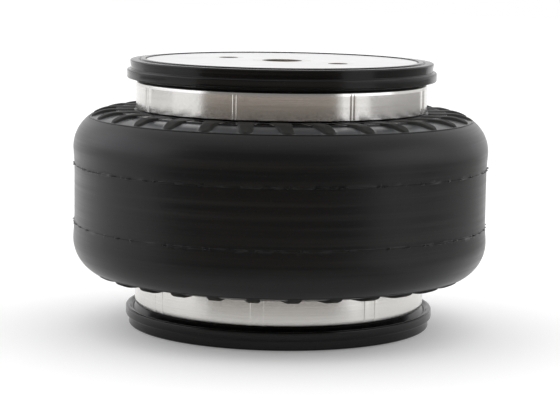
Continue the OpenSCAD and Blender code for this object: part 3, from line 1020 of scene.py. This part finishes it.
class BELLOWS_OT_stage(bpy.types.Operator):
    """Sets up the pale floor, the soft light and the camera"""

    bl_idname = "bellows.stage"
    bl_label = "Stage"

    def execute(self, context):
        scene = context.scene
        stage = scene.bellows_stage
        scene.view_settings.view_transform = "Standard"
        self.light_world(scene, stage)
        self.lay_floor(stage)
        self.hang_cards(stage)
        self.place_camera(scene, stage)
        return {"FINISHED"}

    def directions(self, stage):
        """Level directions to the camera's right and back to the camera."""
        turn = stage.azimuth
        right = Vector((math.cos(turn), math.sin(turn), 0))
        back = Vector((math.sin(turn), -math.cos(turn), 0))
        return right, back

    def light_world(self, scene, stage):
        """A white sky for the camera and for gloss. Matt surfaces get less of it from the camera's side."""
        world = bpy.data.worlds.new("white_studio")
        scene.world = world
        world.use_nodes = True
        tree = world.node_tree
        _, back = self.directions(stage)
        ways = {0: add_node(tree, "ShaderNodeTexCoord").outputs["Generated"], 1: back}
        toward = add_node(tree, "ShaderNodeVectorMath", ways, operation="DOT_PRODUCT").outputs["Value"]
        matt = ranged(tree, toward, stage.side_light, stage.front_light, FRONT_START, FRONT_END)
        level = add_node(tree, "ShaderNodeMix", {0: self.seen(tree), 2: matt, 3: 1.0}).outputs[0]
        set_inputs(tree, tree.nodes["Background"], {"Color": (1, 1, 1, 1), "Strength": level})

    def seen(self, tree):
        """One for what the camera sees, itself or through gloss or glass, and nothing for other light."""
        path = add_node(tree, "ShaderNodeLightPath")
        seen = path.outputs["Is Camera Ray"]
        for kind in ("Is Glossy Ray", "Is Transmission Ray"):
            either = {0: seen, 1: path.outputs[kind]}
            seen = add_node(tree, "ShaderNodeMath", either, operation="MAXIMUM").outputs[0]
        return seen

    def lay_floor(self, stage):
        """Pale paper that takes the part's shadow, with some light of its own for the camera."""
        material, tree = empty_finish("floor_paper")
        paper = add_node(tree, "ShaderNodeBsdfDiffuse", {"Color": (*stage.floor, 1)})
        lifted = {0: self.seen(tree), 1: stage.floor_lift}
        lift = add_node(tree, "ShaderNodeMath", lifted, operation="MULTIPLY")
        glow = add_node(tree, "ShaderNodeEmission", {"Strength": lift.outputs[0]})
        both = add_node(tree, "ShaderNodeAddShader", {0: paper.outputs[0], 1: glow.outputs[0]})
        add_node(tree, "ShaderNodeOutputMaterial", {"Surface": both.outputs[0]})
        near, far = [
            [(x, y, FLOOR_LEVEL) for x in (-FLOOR_HALF, FLOOR_HALF)] for y in (-FLOOR_HALF, FLOOR_HALF)
        ]
        self.strip("floor", near, far, material)

    def strip(self, name, first, second, material):
        """A stage sheet between two lines of points."""
        count = len(first)
        faces = [(i, i + 1, count + i + 1, count + i) for i in range(count - 1)]
        mesh = bpy.data.meshes.new(name)
        mesh.from_pydata([tuple(point) for point in (*first, *second)], [], faces)
        made = bpy.data.objects.new(name, mesh)
        made.data.materials.append(material)
        bpy.context.scene.collection.objects.link(made)
        return made

    def hang_cards(self, stage):
        """Parts of the studio that only gloss picks up: room, ceiling, paper, floors and two softboxes."""
        away = self.directions(stage)
        for name, span, start, end, tone in STUDIO_CARDS:
            material = self.toned(name, getattr(stage, tone))
            card = self.strip(name, self.arc(away, span, *start), self.arc(away, span, *end), material)
            card.visible_camera = False
            card.visible_diffuse = False
            card.visible_shadow = False

    def arc(self, away, span, reach, level):
        """Points at a level on an arc round the axis, in degrees from the camera towards its right."""
        right, back = away
        rise = Vector((0, 0, level))
        turns = np.radians(np.linspace(*span, CARD_POINTS))
        return [(right * math.sin(turn) + back * math.cos(turn)) * reach + rise for turn in turns]

    def toned(self, name, tone):
        """A plain tone for a studio card."""
        material, tree = empty_finish(name)
        glow = add_node(tree, "ShaderNodeEmission", {"Color": (*tone, 1), "Strength": 1.0})
        add_node(tree, "ShaderNodeOutputMaterial", {"Surface": glow.outputs[0]})
        return material

    def place_camera(self, scene, stage):
        """The camera in front of the part, pitched down and rolled."""
        right, back = self.directions(stage)
        up = Vector((0, 0, 1))
        ahead = -back * math.cos(stage.pitch) - up * math.sin(stage.pitch)
        upward = up * math.cos(stage.pitch) - back * math.sin(stage.pitch)
        turned_right = right * math.cos(stage.roll) + upward * math.sin(stage.roll)
        turned_up = upward * math.cos(stage.roll) - right * math.sin(stage.roll)
        data = bpy.data.cameras.new("camera")
        data.sensor_width = SENSOR_WIDTH
        data.lens = stage.lens
        data.clip_end = CLIP_END
        camera = bpy.data.objects.new("camera", data)
        scene.collection.objects.link(camera)
        axes = Matrix((turned_right, turned_up, -ahead)).transposed().to_4x4()
        camera.matrix_world = Matrix.Translation(back * stage.distance + up * stage.height) @ axes
        scene.camera = camera


OPERATORS = (
    BELLOWS_OT_wall,
    BELLOWS_OT_bands,
    BELLOWS_OT_rims,
    BELLOWS_OT_fittings,
    BELLOWS_OT_closures,
    BELLOWS_OT_stage,
)


class BELLOWS_PT_sidebar(bpy.types.Panel):
    """Lists the pieces of the bellows and their sizes"""

    bl_label = "Air bellows actuator"
    bl_idname = "BELLOWS_PT_sidebar"
    bl_space_type = "VIEW_3D"
    bl_region_type = "UI"
    bl_category = "Bellows"

    def draw(self, context):
        for operator in OPERATORS:
            self.layout.operator(operator.bl_idname)
        for name, group in SETTINGS.items():
            box = self.layout.box()
            for key in group.__annotations__:
                box.prop(getattr(context.scene, name), key)


def register():
    """Registers the settings, the operators and the panel."""
    for name, group in SETTINGS.items():
        bpy.utils.register_class(group)
        setattr(bpy.types.Scene, name, bpy.props.PointerProperty(type=group))
    for kind in (*OPERATORS, BELLOWS_PT_sidebar):
        bpy.utils.register_class(kind)


def unregister():
    """Takes back what register did."""
    for kind in (BELLOWS_PT_sidebar, *reversed(OPERATORS)):
        bpy.utils.unregister_class(kind)
    for name, group in reversed(SETTINGS.items()):
        delattr(bpy.types.Scene, name)
        bpy.utils.unregister_class(group)


def main():
    """Builds every piece in order."""
    register()
    bpy.ops.bellows.wall()
    bpy.ops.bellows.bands()
    bpy.ops.bellows.rims()
    bpy.ops.bellows.fittings()
    bpy.ops.bellows.closures()
    bpy.ops.bellows.stage()


if __name__ == "__main__":
    main()
